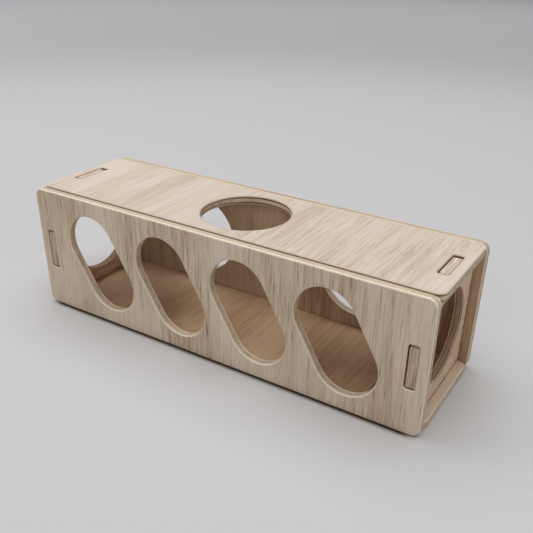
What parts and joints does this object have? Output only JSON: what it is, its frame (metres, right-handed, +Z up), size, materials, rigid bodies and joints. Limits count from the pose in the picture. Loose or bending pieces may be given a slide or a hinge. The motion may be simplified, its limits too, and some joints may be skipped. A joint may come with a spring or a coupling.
{
  "type": "small animal play tunnel",
  "caption": "Rectangular plywood tunnel for a small rodent, held by tabs in slots, with slanted oval openings in front and round openings in the ends, roof and back.",
  "frame": {"origin": "on the ground, under the middle of the tunnel", "axes": "+X along the tunnel to the right as seen from the front, +Y from the front to the back, +Z up"},
  "size_m": [0.3, 0.09, 0.091],
  "materials": {
    "front_panel": "bare three-ply board, finely sanded",
    "back_panel": "bare three-ply board, finely sanded",
    "top_panel": "bare three-ply board, finely sanded",
    "bottom_panel": "bare three-ply board, finely sanded",
    "left_end_frame": "bare three-ply board, finely sanded",
    "right_end_frame": "bare three-ply board, finely sanded"
  },
  "bodies": {
    "root": {"front_panel": "front_panel", "back_panel": "back_panel", "top_panel": "top_panel", "bottom_panel": "bottom_panel", "left_end_frame": "left_end_frame", "right_end_frame": "right_end_frame"}
  },
  "joints": []
}
